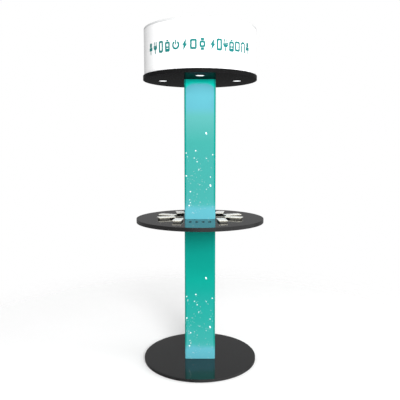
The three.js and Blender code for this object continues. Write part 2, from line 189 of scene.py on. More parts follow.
floor_mesh = bpy.data.meshes.new("floor")
reach = 4.0
floor_corners = [(-reach, -reach, 0.0), (reach, -reach, 0.0), (reach, reach, 0.0), (-reach, reach, 0.0)]
floor_mesh.from_pydata(floor_corners, [], [(0, 1, 2, 3)])
floor = new_object("floor", floor_mesh)
floor.visible_glossy = False
floor_paint = bpy.data.materials.new("floor_paint")
floor_paint.use_nodes = True
floor_mesh.materials.append(floor_paint)
floor_shader = floor_paint.node_tree.nodes["Principled BSDF"]
floor_shader.inputs["Base Color"].default_value = (0.95, 0.95, 0.95, 1.0)
floor_shader.inputs["Roughness"].default_value = 0.9
on_floor = Nodes(floor_paint.node_tree)
floor_x, floor_y, _ = on_floor.node("ShaderNodeTexCoord", output="Object").parts()
from_middle = (floor_x * floor_x + floor_y * floor_y) ** 0.5
on_floor.feed(floor_shader.inputs["Alpha"], from_middle.rise(2.6, 0.9))

world = bpy.data.worlds.new("studio")
world.use_nodes = True
bpy.context.scene.world = world
world.node_tree.nodes.clear()
room = Nodes(world.node_tree)
way_x, way_y, way_z = room.node("ShaderNodeTexCoord", output="Generated").parts()
wall = (way_z * 0.5 + 0.5).ramp(
    (0.0, 0.10), (0.35, 0.27), (0.46, 0.29), (0.505, 0.19), (0.572, 0.21), (0.71, 0.33))
bright_side = math.radians(-40.0)
bright_wall = (way_x * math.cos(bright_side) + way_y * math.sin(bright_side)).rise(0.35, 0.64)
bright_wall_level = 0.8
mirrored = bright_wall * bright_wall_level + (1.0 - bright_wall) * wall
is_mirrored = room.node("ShaderNodeLightPath", output="Is Glossy Ray")
is_seen = room.node("ShaderNodeLightPath", output="Is Camera Ray")
all_round = 0.68
strength = is_seen + (1.0 - is_seen) * (is_mirrored * mirrored + (1.0 - is_mirrored) * all_round)
surround = room.node("ShaderNodeBackground", {"Color": (1.0, 1.0, 1.0, 1.0), "Strength": strength})
world_out = world.node_tree.nodes.new("ShaderNodeOutputWorld")
room.feed(world_out.inputs["Surface"], surround)


# ---- Base ----
# A board disc faced in semi-gloss black laminate, with a satin black band round its edge. It lies on a
# thin rubber pad and hides a round steel ballast plate let into its underside.
def ink(red, green, blue):
    """A colour as a paint chart gives it, from 0 to 255, as the shader wants it."""
    parts = [part / 255.0 for part in (red, green, blue)]
    return tuple(p / 12.92 if p <= 0.04045 else ((p + 0.055) / 1.055) ** 2.4 for p in parts) + (1.0,)


class Finish(Nodes):
    """One material: its shader, the places on the piece, and the nodes that vary it."""

    def __init__(self, name, **fixed):
        self.material = bpy.data.materials.new(name)
        self.material.use_nodes = True
        super().__init__(self.material.node_tree)
        self.shader = self.tree.nodes["Principled BSDF"]
        self.place = self.node("ShaderNodeTexCoord", output="Object")
        for key, value in fixed.items():
            self.shader.inputs[key.replace("_", " ")].default_value = value

    def set(self, **inputs):
        for key, value in inputs.items():
            self.feed(self.shader.inputs[key.replace("_", " ")], value)

    def noise(self, scale, detail=2.0, roughness=0.5, stretch=(1.0, 1.0, 1.0)):
        where = self.node("ShaderNodeMapping", {"Vector": self.place, "Scale": stretch})
        wanted = {"Vector": where, "Scale": scale, "Detail": detail, "Roughness": roughness}
        return self.node("ShaderNodeTexNoise", wanted)

    def bump(self, height, depth, strength=1.0):
        wanted = {"Height": height, "Distance": depth, "Strength": strength}
        self.set(Normal=self.node("ShaderNodeBump", wanted))


def new_piece(name, vertices, edges, faces, finish):
    mesh = bpy.data.meshes.new(name)
    mesh.from_pydata(vertices, edges, faces)
    mesh.materials.append(finish.material)
    for face in mesh.polygons:
        face.use_smooth = True
    return new_object(name, mesh)


def modify(piece, kind, **settings):
    modifier = piece.modifiers.new(kind.lower(), kind)
    for key, value in settings.items():
        setattr(modifier, key, value)


def ease_edges(piece, width, segments=3, angle=30.0):
    modify(piece, "BEVEL", width=width, segments=segments, limit_method="ANGLE",
           angle_limit=math.radians(angle))
    modify(piece, "WEIGHTED_NORMAL", keep_sharp=True)


def turned(name, profile, finish, steps=180):
    """A solid of revolution about Z from (radius, height) points that run from the top down."""
    vertices = [(radius, 0.0, height) for radius, height in profile]
    edges = [(i, i + 1) for i in range(len(profile) - 1)]
    piece = new_piece(name, vertices, edges, [], finish)
    modify(piece, "SCREW", axis="Z", steps=steps, render_steps=steps, use_smooth_shade=True,
           use_merge_vertices=True, merge_threshold=1e-5)
    return piece


def solid_profile(radius, high, low):
    """The profile of a plain disc or rod, for turned()."""
    return [(0.0, high), (radius, high), (radius, low), (0.0, low)]


def apply_stack(piece):
    """Turns the live stack into the piece's own mesh."""
    graph = bpy.context.evaluated_depsgraph_get()
    mesh = bpy.data.meshes.new_from_object(piece.evaluated_get(graph))
    piece.modifiers.clear()
    piece.data = mesh


def cut_away(piece, *tools):
    """Cuts closed helper pieces out of a piece, and removes them."""
    for tool in tools:
        modify(piece, "BOOLEAN", operation="DIFFERENCE", object=tool, solver="EXACT")
    apply_stack(piece)
    for tool in tools:
        bpy.data.objects.remove(tool)


def put(piece, *steps):
    """Applies the stack, then takes the mesh through each step: a matrix, or how far to move."""
    apply_stack(piece)
    for step in steps:
        piece.data.transform(step if isinstance(step, Matrix) else Matrix.Translation(step))
    return piece


def join_on(piece, addition):
    """Joins a closed helper piece onto a piece, and removes it."""
    modify(piece, "BOOLEAN", operation="UNION", object=addition, solver="EXACT")
    apply_stack(piece)
    bpy.data.objects.remove(addition)


def grained(name, dark, pale, grain, roughness, depth, spread=0.0, tone=None, **fixed):
    """A finish with a fine grain, which also varies its colour unless a broader tone is given."""
    finish = Finish(name, **fixed)
    fine = finish.noise(*grain)
    broad = finish.noise(*tone) if tone else fine
    finish.set(Base_Color=finish.mix(broad, ink(*dark), ink(*pale)))
    finish.set(Roughness=roughness + fine * spread if spread else roughness)
    finish.bump(fine, depth)
    return finish


def stand_for(piece, body, slot, *nodes):
    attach(piece, body)
    if nodes:
        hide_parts(*nodes)


def dress(finish, *nodes):
    for node in nodes:
        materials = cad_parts[node].data.materials
        materials.clear()
        materials.append(finish.material)


def round_size(node):
    """A round node's radius, underside and top."""
    low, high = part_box(node)
    return (high.x - low.x) / 2, low.z, high.z


def laminate(name, dark, pale, ior):
    """Black laminate: faint cloudiness, a fine texture, and smears where it has been wiped."""
    finish = Finish(name, IOR=ior)
    cloud = finish.noise(7.0, 3.0)
    grit = finish.noise(900.0, 2.0)
    smears = finish.noise(9.0, 4.0, 0.6, (1.0, 3.5, 1.0))
    base = finish.mix(cloud, ink(dark, dark, dark + 1), ink(pale, pale, pale + 1))
    finish.set(Base_Color=finish.mix(grit.rise(0.5, 0.8) * 0.25, base, ink(62, 62, 64)))
    finish.set(Roughness=0.09 + smears.rise(0.45, 0.75) * 0.06)
    finish.bump(grit * 0.4 + finish.noise(60.0) * 0.6, 0.00004, 0.5)
    return finish


def edge_band(name, shade, ior):
    """Satin black edging, scuffed in short strokes along its length."""
    finish = Finish(name, IOR=ior)
    strokes = finish.noise(140.0, 3.0, 0.7, (1.0, 1.0, 3.0)).rise(0.58, 0.74)
    tone = finish.mix(finish.noise(12.0), ink(shade, shade, shade), ink(shade + 4, shade + 4, shade + 5))
    finish.set(Base_Color=finish.mix(strokes * 0.35, tone, ink(88, 87, 85)))
    finish.set(Roughness=0.27 + strokes * 0.3)
    finish.bump(finish.noise(500.0), 0.00006, 0.6)
    return finish


rim_ease = 0.0015


def board(name, node, face, band, *tools, under=()):
    """A round board: its disc, cut by the tools, with the band on the faces round its edge."""
    radius, low, high = round_size(node)
    profile = [(0.0, high), (radius, high), (radius, low), *under, (0.0, low)]
    if under:
        profile[-1] = (0.0, under[-1][1])
    piece = turned(name, profile, face)
    if tools:
        cut_away(piece, *tools)
    ease_edges(piece, rim_ease)
    apply_stack(piece)
    piece.data.materials.append(band.material)
    for polygon in piece.data.polygons:
        if math.hypot(polygon.center.x, polygon.center.y) > radius - 0.8 * rim_ease:
            polygon.material_index = 1
    stand_for(piece, "kiosk", "black_laminate", node)


gloss_laminate = laminate("gloss_laminate", 21, 26, 1.5)
black_band = edge_band("black_edge_band", 22, 1.5)
ballast_radius, _, ballast_high = round_size("ballast_plate")
fit = 0.0003
recess_radius = ballast_radius + 2 * fit
recess_top = ballast_high + fit
base_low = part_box("base_disc")[0].z
board("base_board", "base_disc", gloss_laminate, black_band,
      under=((recess_radius, base_low), (recess_radius, recess_top)))

rubber = grained("floor_pad_rubber", (16, 16, 16), (30, 29, 28), (500.0, 3.0), 0.85, 0.0003)
pad_radius, pad_low, pad_high = round_size("floor_pad")
floor_pad = turned("floor_pad_sheet", solid_profile(pad_radius, pad_high, pad_low), rubber)
ease_edges(floor_pad, 0.0004, 2)
stand_for(floor_pad, "kiosk", "black_rubber", "floor_pad")

# ---- Hidden steelwork ----
# Mill-finish steel: the ballast plate, the foot and head plates, the two C-section uprights and the
# welded mast. Zinc plate: bolts, hinge and equipment plate. They show past the open service door.
steel = Finish("mill_steel", Metallic=1.0)
steel_scale = steel.noise(18.0, 5.0, 0.65)
steel_streaks = steel.noise(120.0, 3.0, 0.6, (1.0, 1.0, 0.05))
steel.set(Base_Color=steel.mix(steel_scale.rise(0.35, 0.7), ink(120, 122, 124), ink(160, 162, 164)))
steel.set(Roughness=0.38 + steel_streaks * 0.22)
steel.bump(steel_streaks, 0.0001)
dress(steel, "ballast_plate", "foot_plate", "head_plate", "upright_left", "upright_right", "mast")

zinc = Finish("zinc_plating", Metallic=1.0)
zinc_cells = zinc.node("ShaderNodeTexVoronoi", {"Vector": zinc.place, "Scale": 160.0}, output="Color")
zinc_tone = zinc_cells.parts()[0]
zinc.set(Base_Color=zinc.mix(zinc_tone, ink(178, 183, 188), ink(206, 208, 206)))
zinc.set(Roughness=0.26 + zinc_tone * 0.12)
zinc.bump(zinc.noise(300.0), 0.0001)
foot_bolts = [f"foot_bolt_{i}" for i in range(1, 5)]
dress(zinc, *foot_bolts, "hinge_leaf_frame", "hinge_leaf_door", "hinge_pin", "equipment_plate")


# ---- Column shells ----
# Two sleeves of sheet aluminium with rounded upright corners, wrapped in a satin printed film: teal that
# turns to light blue at the foot, and white drops. On the upper one a paler wash is painted at the top as
# the header lamps' light, and the print's top darkens partly as painted shade of the counter. The film's
# own map runs round the sleeve from the front's middle and up from its foot, in metres.
corner_radius = 0.010
shell_wall = 0.003
half_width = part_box("upper_column_shell")[1].x
half_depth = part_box("upper_column_shell")[1].y
straight_x = half_width - corner_radius
straight_y = half_depth - corner_radius
quarter_turn = corner_radius * math.pi / 2
half_round = 2 * straight_x + 2 * straight_y + 2 * quarter_turn


def way_round(x, y):
    """How far a place on the sleeve is from the front's middle, going round. It is never negative."""
    out = abs(x) - straight_x
    if out <= 0.0:
        return abs(x) if y < 0.0 else half_round - abs(x)
    if y < -straight_y:
        return straight_x + corner_radius * math.atan2(out, -y - straight_y)
    if y <= straight_y:
        return straight_x + quarter_turn + y + straight_y
    return straight_x + quarter_turn + 2 * straight_y + corner_radius * math.atan2(y - straight_y, out)


def wrap_film(piece, foot):
    layer = piece.data.uv_layers.new(name="wrap")
    for face in piece.data.polygons:
        side = 1.0 if face.center.x >= 0.0 else -1.0
        for loop in face.loop_indices:
            x, y, z = piece.data.vertices[piece.data.loops[loop].vertex_index].co
            along = way_round(x, y)
            if x * side < 0.0:
                along = 2 * half_round - along if y > 0.0 else -along
            layer.data[loop].uv = (side * along, z - foot)


# Each drop: millimetres from the front's middle and above the foot, radius, and how white it is.
film_drops = [
    (38, 547, 4.6, 1.0), (40, 541, 4.6, 1.0), (65, 219, 4.8, 1.0), (67, 213, 4.8, 1.0),
    (-27, 435, 4.3, 0.95), (-86, 421, 3.6, 0.9), (-79, 398, 3.2, 0.5), (-36, 389, 3.7, 0.7),
    (80, 410, 4.0, 0.85), (41, 387, 3.4, 0.6), (-18, 366, 4.0, 0.8), (-7, 319, 2.8, 0.8),
    (-9, 313, 2.8, 0.6), (-86, 277, 4.3, 1.0), (66, 270, 3.7, 0.8), (41, 192, 3.2, 0.5),
    (-61, 177, 4.2, 1.0), (-18, 161, 3.0, 0.4), (-66, 124, 4.2, 0.45), (-61, 107, 3.4, 0.8),
    (-69, 88, 4.8, 1.0), (-46, 43, 3.0, 0.4),
]


film_length = 0.9
light_blue = ink(81, 152, 165)
spray_white = ink(169, 189, 189)


def printed_film(name, lit_height=None):
    """The film's print, with a painted wash of lamp light on the upper sleeve. lit_height is the top of the
    sleeve, where it is the one under the lamps.
    """
    finish = Finish(name, IOR=1.12)
    around, up, _ = finish.node("ShaderNodeUVMap", settings={"uv_map": "wrap"}).parts()
    along = around.wrapped(-half_round / 2, half_round / 2)
    corner = straight_x + quarter_turn / 2
    on_side = (half_round / 2 - abs(along)) * (1.0 / (half_round / 2 - corner))
    edge = (abs(along) * (1.0 / corner)).at_most(on_side)
    drift = finish.noise(9.0, 3.0)
    # The stops darken towards the film's top, partly as print and partly as painted shade of the counter
    # over the lower sleeve.
    paper = (up * (1.0 / film_length)).ramp(
        (0.0, ink(84, 173, 179)), (0.05, ink(79, 169, 171)), (0.14, ink(56, 157, 151)),
        (0.29, ink(37, 147, 138)), (0.44, ink(28, 142, 133)), (0.52, ink(15, 140, 128)),
        (0.59, ink(8, 140, 126)), (0.68, ink(6, 132, 119)), (0.82, ink(6, 126, 114)))
    mist = up.rise(0.26, 0.10) * along.rise(-0.02, -0.09) * drift.rise(0.35, 0.7) * 0.55
    paper = finish.mix(mist, paper, light_blue)
    pool = (up + (drift - 0.5) * 0.05).rise(0.098, 0.062)
    paper = finish.mix(pool, paper, ink(92, 172, 186))
    if lit_height is not None:
        # On the upper sleeve the header lamps' light is painted on: a paler wash that fades down from the
        # top, and light blue right under the header.
        below = lit_height - up
        painted_lamp_wash = (below * (1.0 / film_length)).ramp(
            (0.0, 1.0), (0.22, 1.0), (0.28, 0.92), (0.35, 0.74), (0.43, 0.51), (0.53, 0.45), (0.69, 0.44),
            (0.83, 0.30), (0.97, 0.0))
        paper = finish.mix(painted_lamp_wash, paper, ink(80, 154, 152))
        paper = finish.mix(below.rise(0.235, 0.165), paper, light_blue)
        brow = (below - edge ** 4.0 * 0.04).rise(0.036, 0.016)
        paper = finish.mix(brow, paper, ink(8, 178, 162))
    border = edge.rise(0.885, 0.945) * up.rise(0.02, 0.16)
    paper = finish.mix(border, paper, ink(4, 133, 121))

    def spatter(cell, size, amount, seed):
        """Small drops scattered over square cells, in an amount that runs from none to one in each."""
        wanted = {"X": along + seed, "Y": up * 0.86 + along * 0.2, "Z": seed}
        where = finish.node("ShaderNodeCombineXYZ", wanted)
        cells = {"Vector": where, "Scale": 1.0 / cell}
        distance = finish.node("ShaderNodeTexVoronoi", cells)
        draw, spread, _ = finish.node("ShaderNodeTexVoronoi", cells, output="Color").parts()
        radius = (0.4 + spread * 0.6) * (size / cell)
        return (radius - distance).rise(0.0, 0.3 * size / cell) * (draw < amount)

    spray = up.rise(0.50, 0.06) * drift.rise(0.25, 0.65)
    leftward = (0.05 - along) * 3.0
    dust = spatter(0.0085, 0.0026, spray * (0.75 + leftward), 3.1)
    grains = spatter(0.019, 0.0036, spray * (0.55 + leftward), 7.7)
    round_the_side = abs(along).rise(0.094, 0.098)
    drops = spatter(0.055, 0.0052, up.rise(0.46, 0.40) * 0.6, 12.4) * round_the_side
    on_front = finish.node("ShaderNodeCombineXYZ", {"X": along, "Y": up})
    for x, height, radius, white in film_drops:
        middle = (x / 1000.0, height / 1000.0, 0.0)
        ends = {0: on_front, 1: middle}
        away = finish.node("ShaderNodeVectorMath", ends, {"operation": "DISTANCE"}, "Value")
        drops = drops.at_least(away.rise((radius + 0.9) / 1000.0, (radius - 1.1) / 1000.0) * white)
    paper = finish.mix(dust * 0.75, paper, spray_white)
    paper = finish.mix(grains * 0.75, paper, spray_white)
    finish.set(Base_Color=finish.mix(drops * 0.97, paper, ink(228, 236, 236)))
    finish.set(Roughness=0.42 + finish.noise(14.0, 4.0).rise(0.4, 0.8) * 0.12)
    finish.bump(finish.noise(700.0, 2.0) * 0.3 + finish.noise(45.0) * 0.7, 0.0001)
    return finish


def box_mesh(name, low, high, finish):
    corners = [(x, y, z) for z in (low[2], high[2]) for x, y in (
        (low[0], low[1]), (high[0], low[1]), (high[0], high[1]), (low[0], high[1]))]
    faces = [(3, 2, 1, 0), (4, 5, 6, 7), (0, 1, 5, 4), (1, 2, 6, 5), (2, 3, 7, 6), (3, 0, 4, 7)]
    return new_piece(name, corners, [], faces, finish)


def column_shell(name, node, finish, *tools):
    """A sleeve with rounded upright corners and walls as thick as its node's, cut by the tools."""
    low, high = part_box(node)
    corners = [(low.x, low.y), (high.x, low.y), (high.x, high.y), (low.x, high.y)]
    vertices = [(x, y, z) for z in (low.z, high.z) for x, y in corners]
    faces = [(i, (i + 1) % 4, (i + 1) % 4 + 4, i + 4) for i in range(4)]
    shell = new_piece(name, vertices, [], faces, finish)
    modify(shell, "BEVEL", width=corner_radius, segments=8, limit_method="ANGLE",
           angle_limit=math.radians(40.0))
    modify(shell, "SOLIDIFY", thickness=shell_wall, offset=-1.0, use_even_offset=True)
    if tools:
        cut_away(shell, *tools)
    ease_edges(shell, 0.0004, 2)
    apply_stack(shell)
    wrap_film(shell, low.z)
    stand_for(shell, "kiosk", "printed_skin", node)


upper_shell_low, upper_shell_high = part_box("upper_column_shell")
lower_film = printed_film("lower_printed_film")
upper_film = printed_film("upper_printed_film", upper_shell_high.z - upper_shell_low.z)
column_shell("upper_shell", "upper_column_shell", upper_film)

door_low, door_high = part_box("access_door")
door_gap = 0.0006
inlet_low, inlet_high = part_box("power_inlet")
past_back = 0.2
doorway = box_mesh("doorway_cutter", (door_low.x - door_gap, 0.0, door_low.z - door_gap),
                   (door_high.x + door_gap, past_back, door_high.z + door_gap), lower_film)
module_flange = 0.004 - fit
module_hole = box_mesh(
    "module_cutter", (inlet_low.x + module_flange, 0.0, inlet_low.z + module_flange),
    (inlet_high.x - module_flange, past_back, inlet_high.z - module_flange), lower_film)
column_shell("lower_shell", "lower_column_shell", lower_film, doorway, module_hole)

# ---- Service door ----
# A flush sheet panel in the same film, with ten pressed louvres in two groups. It swings on a piano
# hinge, screwed through both leaves.
slot_half_x = 0.032
slot_half_z = 0.002
slot_pitch = 0.012
louvres_from_end = 0.070


def prism(name, outline, low, high, finish):
    """A solid with the same outline of (x, y) points at both heights, given anticlockwise."""
    count = len(outline)
    vertices = [(x, y, z) for z in (low, high) for x, y in outline]
    faces = [(i, (i + 1) % count, (i + 1) % count + count, i + count) for i in range(count)]
    faces += [tuple(reversed(range(count))), tuple(range(count, 2 * count))]
    return new_piece(name, vertices, [], faces, finish)


def rounded_rectangle(width, depth, corner, steps=6):
    points = []
    for turn, (sx, sy) in enumerate(((1, -1), (1, 1), (-1, 1), (-1, -1))):
        for i in range(steps + 1):
            angle = (turn - 1 + i / steps) * math.pi / 2
            points.append((sx * (width / 2 - corner) + corner * math.cos(angle),
                           sy * (depth / 2 - corner) + corner * math.sin(angle)))
    return points


def merged(name, pieces, finish):
    """One piece from several, whose stacks are applied first."""
    bm = bmesh.new()
    for piece in pieces:
        apply_stack(piece)
        bm.from_mesh(piece.data)
        bpy.data.objects.remove(piece)
    whole = new_piece(name, [], [], [], finish)
    bm.to_mesh(whole.data)
    bm.free()
    return whole


def louvre(z):
    """A pressed hood over one slot: a curved lip, open underneath, that dies into the panel at its ends."""
    columns = 12
    rows = 5
    vertices = []
    for i in range(columns + 1):
        along = -1.0 + 2.0 * i / columns
        swell = (1.0 - along ** 6) * 0.0032
        for j in range(rows + 1):
            angle = j / rows * math.pi / 2
            vertices.append((along * (slot_half_x + 0.003), door_high.y - 0.0002 + swell * math.sin(angle),
                             z + slot_half_z + 0.0022 - (1.0 - math.cos(angle)) * 0.006))
    row = rows + 1
    faces = [(i * row + j, i * row + j + 1, (i + 1) * row + j + 1, (i + 1) * row + j)
             for i in range(columns) for j in range(rows)]
    hood = new_piece("louvre", vertices, [], faces, lower_film)
    modify(hood, "SOLIDIFY", thickness=0.0008, offset=-1.0)
    modify(hood, "SUBSURF", levels=1, render_levels=1)
    return hood


lock_x = -0.058
lock_z = 0.535
louvre_middles = (door_low.z + louvres_from_end, door_high.z - louvres_from_end)
slot_rows = [middle + row * slot_pitch for middle in louvre_middles for row in range(-2, 3)]
to_back = Matrix.Rotation(math.radians(-90.0), 4, "X")
slot_cutters = [box_mesh("slot", (-slot_half_x, door_low.y - 0.001, z - slot_half_z),
                         (slot_half_x, door_high.y + 0.001, z + slot_half_z), lower_film)
                for z in slot_rows]
lock_hole_radius = 0.0073
lock_hole = turned("lock_hole", solid_profile(lock_hole_radius, 0.1, 0.0), lower_film, 48)
put(lock_hole, to_back, (lock_x, 0.0, lock_z))
door_panel = box_mesh("panel", door_low, door_high, lower_film)
cut_away(door_panel, *slot_cutters, lock_hole)
ease_edges(door_panel, 0.0004, 2)
door = merged("service_door_panel", [door_panel, *[louvre(z) for z in slot_rows]], lower_film)
wrap_film(door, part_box("lower_column_shell")[0].z)
stand_for(door, "service_door", "printed_skin", "access_door")

leaf_low, leaf_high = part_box("hinge_leaf_frame")
leaf_thick = 0.0012
leaf_face = leaf_low.y + leaf_thick


def screws(name, spots, facing, radius, body):
    """Pan-head screws with a socket, at the given places, facing along one direction."""
    heads = []
    turn = Vector(facing).to_track_quat("Z", "Y").to_matrix().to_4x4()
    for spot in spots:
        head = turned("head", [
            (0.0, 0.05 * radius), (0.42 * radius, 0.05 * radius), (0.46 * radius, 0.5 * radius),
            (0.74 * radius, 0.42 * radius), (0.95 * radius, 0.2 * radius), (radius, 0.0), (0.0, 0.0)],
            zinc, 24)
        heads.append(put(head, turn, spot))
    stand_for(merged(name, heads, zinc), body, "zinc_steel")


screw_inset = 0.03
screw_step = (leaf_high.z - leaf_low.z - 2 * screw_inset) / 5
screw_rows = [leaf_low.z + screw_inset + i * screw_step for i in range(6)]
for name, x, body in (("frame_leaf_screws", 0.0815, "kiosk"), ("door_leaf_screws", 0.0625, "service_door")):
    screws(name, [(x, leaf_face, z) for z in screw_rows], (0, 1, 0), 0.0024, body)

# ---- Door lock ----
# A chromed cam lock: a flanged barrel through the door, and a plug with a keyway that turns the cam.
chrome = Finish("lock_chrome", Metallic=1.0)
chrome_rings = chrome.noise(260.0, 3.0, 0.6, (1.0, 0.1, 1.0))
chrome.set(Base_Color=chrome.mix(chrome_rings, ink(196, 198, 202), ink(226, 228, 230)))
chrome.set(Roughness=0.14 + chrome_rings * 0.14)
chrome.bump(chrome_rings, 0.00002)
body_low, body_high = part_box("lock_body")
plug_low, plug_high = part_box("lock_plug")
flange_in = body_high.y - 0.0025
lock_barrel = turned("lock_barrel", [
    (0.0053, body_high.y), (0.0083, body_high.y), (0.009, body_high.y - 0.0009), (0.009, flange_in),
    (0.007, flange_in), (0.007, body_low.y), (0.0053, body_low.y), (0.0053, body_high.y)], chrome, 64)
ease_edges(lock_barrel, 0.0002, 2)
put(lock_barrel, to_back, (lock_x, 0.0, lock_z))
stand_for(lock_barrel, "service_door", "lock_chrome", "lock_body")

lock_core = turned("lock_core", [
    (0.0, plug_high.y), (0.0046, plug_high.y), (0.005, plug_high.y - 0.0004), (0.005, plug_low.y),
    (0.0, plug_low.y)], chrome, 64)
put(lock_core, to_back, (lock_x, 0.0, lock_z))
keyway = box_mesh("keyway", (lock_x - 0.0006, plug_high.y - 0.004, lock_z - 0.0032),
                  (lock_x + 0.0006, plug_high.y + 0.001, lock_z + 0.0032), chrome)
cut_away(lock_core, keyway)
lock_cam = prism("lock_cam", rounded_rectangle(0.012, 0.032, 0.005), plug_low.y, plug_low.y + 0.002, chrome)
put(lock_cam, Matrix.Rotation(math.radians(90.0), 4, "X"), Matrix.Scale(-1.0, 4, (0, 1, 0)),
    (lock_x, 0.0, lock_z - 0.010))
lock_cam.data.flip_normals()
ease_edges(lock_cam, 0.0003, 2)
lock_turner = merged("lock_turner", [lock_core, lock_cam], chrome)
stand_for(lock_turner, "lock", "lock_chrome", "lock_plug")

# ---- Power entry ----
# A moulded black module low on the back: an inlet with three blades, a fuse drawer and a rocker switch
# marked with a bar and a ring.
moulded_black = grained("moulded_black", (20, 20, 21), (30, 30, 31), (1400.0, 2.0), 0.42, 0.00008, 0.14,
                        (25.0, 2.0), IOR=1.46)
inlet_face = inlet_high.y
inlet_mid_z = (inlet_low.z + inlet_high.z) / 2
upright_face = Matrix.Rotation(math.radians(90.0), 4, "X")
plate = prism("plate", rounded_rectangle(inlet_high.x - inlet_low.x, inlet_high.z - inlet_low.z, 0.003),
              -inlet_face, -inlet_face + 0.0025, moulded_black)
ease_edges(plate, 0.0008, 3)
put(plate, upright_face, (0.0, 0.0, inlet_mid_z))
inlet_half_x = 0.024
inlet_half_z = 0.039
inlet_back = box_mesh("inlet_back", (-inlet_half_x, inlet_low.y, inlet_mid_z - inlet_half_z),
                      (inlet_half_x, inlet_face - 0.0015, inlet_mid_z + inlet_half_z), moulded_black)
join_on(plate, inlet_back)
socket_z = inlet_mid_z - 0.025
socket_outline = [(-0.0138, -0.0098), (0.0138, -0.0098), (0.0138, 0.0050), (0.0088, 0.0098),
                  (-0.0088, 0.0098), (-0.0138, 0.0050)]
socket_well = prism("socket_well", socket_outline, -inlet_face - 0.001, -inlet_face + 0.017, moulded_black)
put(socket_well, upright_face, (0.0, 0.0, socket_z))
fuse_z = inlet_mid_z - 0.002
fuse_well = box_mesh("fuse_well", (-0.013, inlet_face - 0.022, fuse_z - 0.0055),
                     (0.013, inlet_face + 0.001, fuse_z + 0.0055), moulded_black)
switch_z = inlet_mid_z + 0.024
switch_well = box_mesh("switch_well", (-0.012, inlet_face - 0.009, switch_z - 0.0085),
                       (0.012, inlet_face + 0.001, switch_z + 0.0085), moulded_black)
cut_away(plate, socket_well, fuse_well, switch_well)
ease_edges(plate, 0.0003, 2, 50.0)
plate.name = "inlet_housing"
stand_for(plate, "kiosk", "black_plastic", "power_inlet")

blade_pieces = []
for x, z in ((-0.007, -0.002), (0.0, 0.002), (0.007, -0.002)):
    blade = box_mesh("blade", (x - 0.001, inlet_face - 0.0169, socket_z + z - 0.002),
                     (x + 0.001, inlet_face - 0.004, socket_z + z + 0.002), zinc)
    ease_edges(blade, 0.0004, 2)
    blade_pieces.append(blade)
stand_for(merged("inlet_blades", blade_pieces, zinc), "kiosk", "zinc_steel")

drawer_low, drawer_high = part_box("fuse_drawer")
drawer = box_mesh("fuse_drawer_front", drawer_low, drawer_high, moulded_black)
finger_notch = box_mesh("finger_notch", (-0.004, drawer_high.y - 0.0010, drawer_high.z - 0.0022),
                        (0.004, drawer_high.y + 0.001, drawer_high.z + 0.001), moulded_black)
cut_away(drawer, finger_notch)
ease_edges(drawer, 0.0003, 2)
stand_for(drawer, "fuse", "black_plastic", "fuse_drawer")

dress(moulded_black, "power_switch")
mark_white = Finish("mark_white")
mark_white.set(Base_Color=mark_white.mix(mark_white.noise(900.0), ink(226, 226, 222), ink(244, 244, 240)))
mark_white.set(Roughness=0.5 + mark_white.noise(300.0) * 0.1)
rocker_tilt = math.radians(8.0)
rocker_pivot = (0.0, inlet_face - 0.002, switch_z)
slope = math.atan2(0.0012, 0.0075)
bar_mark = box_mesh("bar_mark", (-0.0004, 0.0, -0.0016), (0.0004, 0.0001, 0.0016), mark_white)
put(bar_mark, Matrix.Rotation(-slope, 4, "X"), (0.0, 0.00184, 0.0038))
ring_mark = turned("ring_mark", [
    (0.0010, 0.0001), (0.0016, 0.0001), (0.0016, 0.0), (0.0010, 0.0), (0.0010, 0.0001)], mark_white, 32)
put(ring_mark, to_back, Matrix.Rotation(slope, 4, "X"), (0.0, 0.00184, -0.0038))
rocker_marks = merged("rocker_marks", [bar_mark, ring_mark], mark_white)
put(rocker_marks, Matrix.Rotation(rocker_tilt, 4, "X"), rocker_pivot)
stand_for(rocker_marks, "rocker", "black_plastic")

# ---- Electrics in the column ----
# A folded, perforated supply case with a terminal block under it, the charging hub with its row of
# outlets, and two black leads.
supply_low, supply_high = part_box("power_supply")
perforated = Finish("perforated_case", Metallic=1.0)
case_x, case_y, case_z = perforated.place.parts()
pitch = 0.006
# The perforations are not cut: each hole is painted near-black as the shade inside it.
hole_x = (case_x.wrapped(-pitch / 2, pitch / 2)) ** 2.0
hole_z = (case_z.wrapped(-pitch / 2, pitch / 2)) ** 2.0
holes = ((hole_x + hole_z) ** 0.5).rise(0.0020, 0.0017) * (case_y > supply_high.y - 0.0004)
inside = abs(case_x).rise(0.041, 0.040) * case_z.rise(supply_low.z + 0.010, supply_low.z + 0.011)
holes = holes * inside * case_z.rise(supply_high.z - 0.010, supply_high.z - 0.011)
case_streaks = perforated.noise(90.0, 3.0, 0.6, (1.0, 1.0, 0.06))
case_metal = perforated.mix(case_streaks, ink(176, 180, 184), ink(204, 207, 208))
perforated.set(Base_Color=perforated.mix(holes, case_metal, ink(10, 10, 11)))
perforated.set(Roughness=0.30 + case_streaks * 0.16 + holes * 0.4, Metallic=1.0 - holes)
perforated.bump(1.0 - holes, 0.0008)
supply = box_mesh("supply_case", supply_low, supply_high, perforated)
ease_edges(supply, 0.0012, 3)
stand_for(supply, "kiosk", "supply_case", "power_supply")

terminal_pieces = []
terminal_x = [i * 0.012 for i in range(-3, 4)]
terminal_face = supply_high.y + 0.0075
for x in terminal_x:
    terminal = box_mesh("terminal", (x - 0.0052, supply_high.y + 0.0003, supply_low.z + 0.002),
                        (x + 0.0052, terminal_face, supply_low.z + 0.0095), moulded_black)
    ease_edges(terminal, 0.0007, 2)
    terminal_pieces.append(terminal)
stand_for(merged("terminal_block", terminal_pieces, moulded_black), "kiosk", "black_plastic")
terminal_screws = [(x, terminal_face, supply_low.z + 0.0058) for x in terminal_x]
screws("terminal_screws", terminal_screws, (0, 1, 0), 0.0027, "kiosk")

